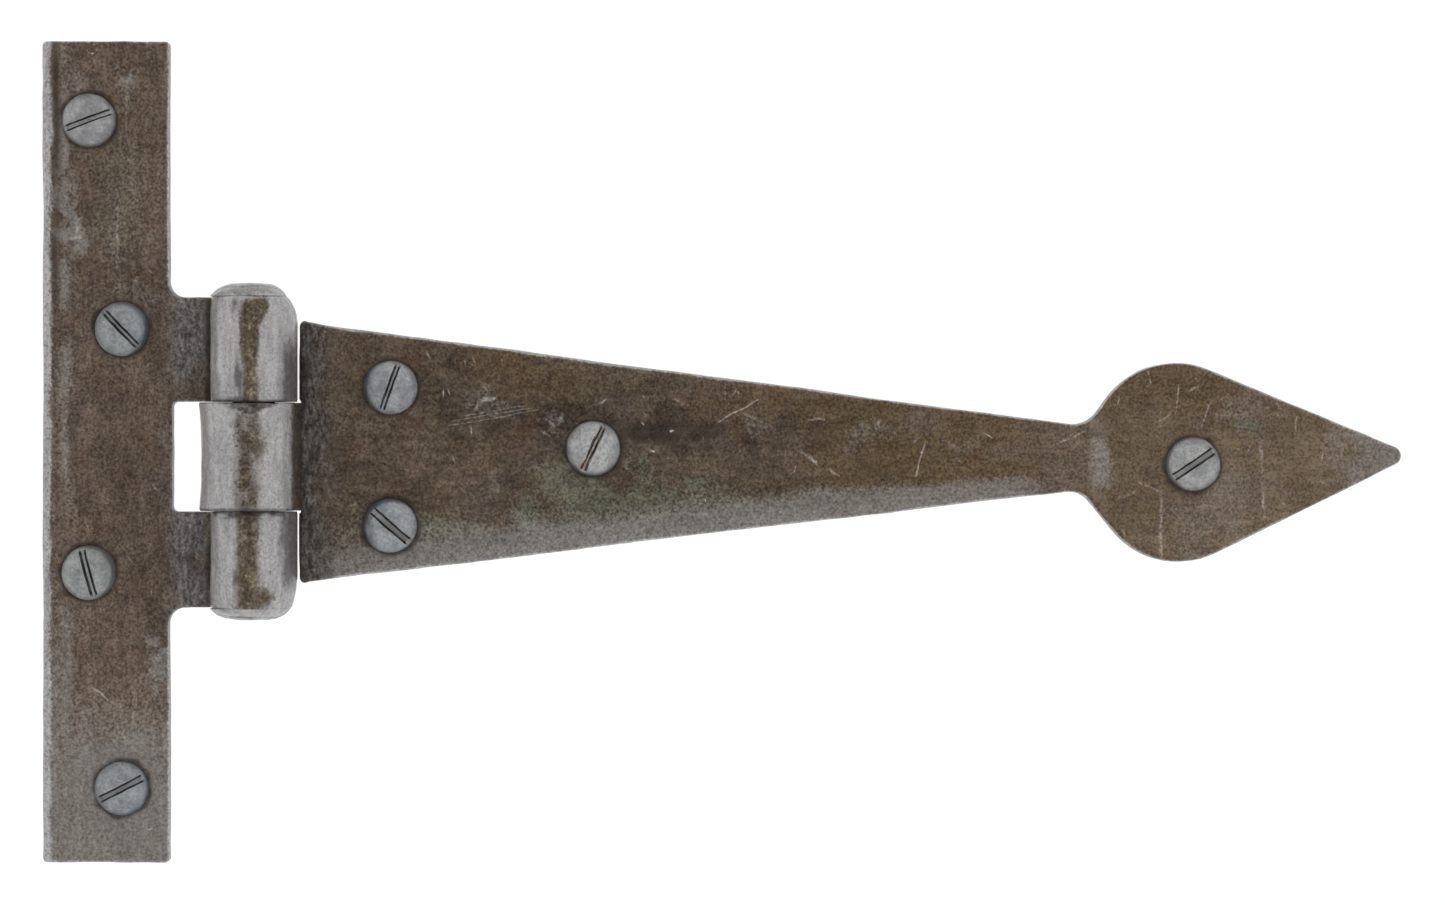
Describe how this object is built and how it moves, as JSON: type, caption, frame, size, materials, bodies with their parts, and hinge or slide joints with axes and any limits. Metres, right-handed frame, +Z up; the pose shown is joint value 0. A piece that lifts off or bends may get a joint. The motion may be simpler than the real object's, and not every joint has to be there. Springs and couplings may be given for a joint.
{
  "type": "strap hinge",
  "caption": "Forged T-shaped strap hinge: a cross plate and a long tapering strap with an arrow-head end, joined by a riveted pin and fixed with slotted round-head wood screws.",
  "frame": {"origin": "centre of the cross plate's back face", "axes": "+Y backwards, the way the screws go into the wood; +X along the strap, away from the plate; +Z up along the pin, as on a hung door"},
  "size_m": [0.1904, 0.0362, 0.115],
  "materials": {
    "plate_iron": "forged iron, waxed dark brown, worn grey on edges and barrels",
    "strap_iron": "forged iron, waxed dark brown, scratched, worn grey on edges and eye",
    "pin_iron": "peened iron, worn bright grey",
    "screw_steel": "dull pewter-grey steel"
  },
  "bodies": {
    "plate": {"plate_leaf": "plate_iron", "hinge_pin": "pin_iron", "plate_screw_top": "screw_steel", "plate_screw_upper": "screw_steel", "plate_screw_lower": "screw_steel", "plate_screw_bottom": "screw_steel"},
    "strap": {"strap_leaf": "strap_iron", "strap_screw_root_upper": "screw_steel", "strap_screw_root_lower": "screw_steel", "strap_screw_middle": "screw_steel", "strap_screw_spade": "screw_steel"}
  },
  "joints": [
    {"name": "strap_swing", "type": "hinge", "parent": "plate", "child": "strap", "pos_m": [0.021, -0.006, 0], "axis": [0, 0, -1], "range_deg": [-90, 180]}
  ]
}
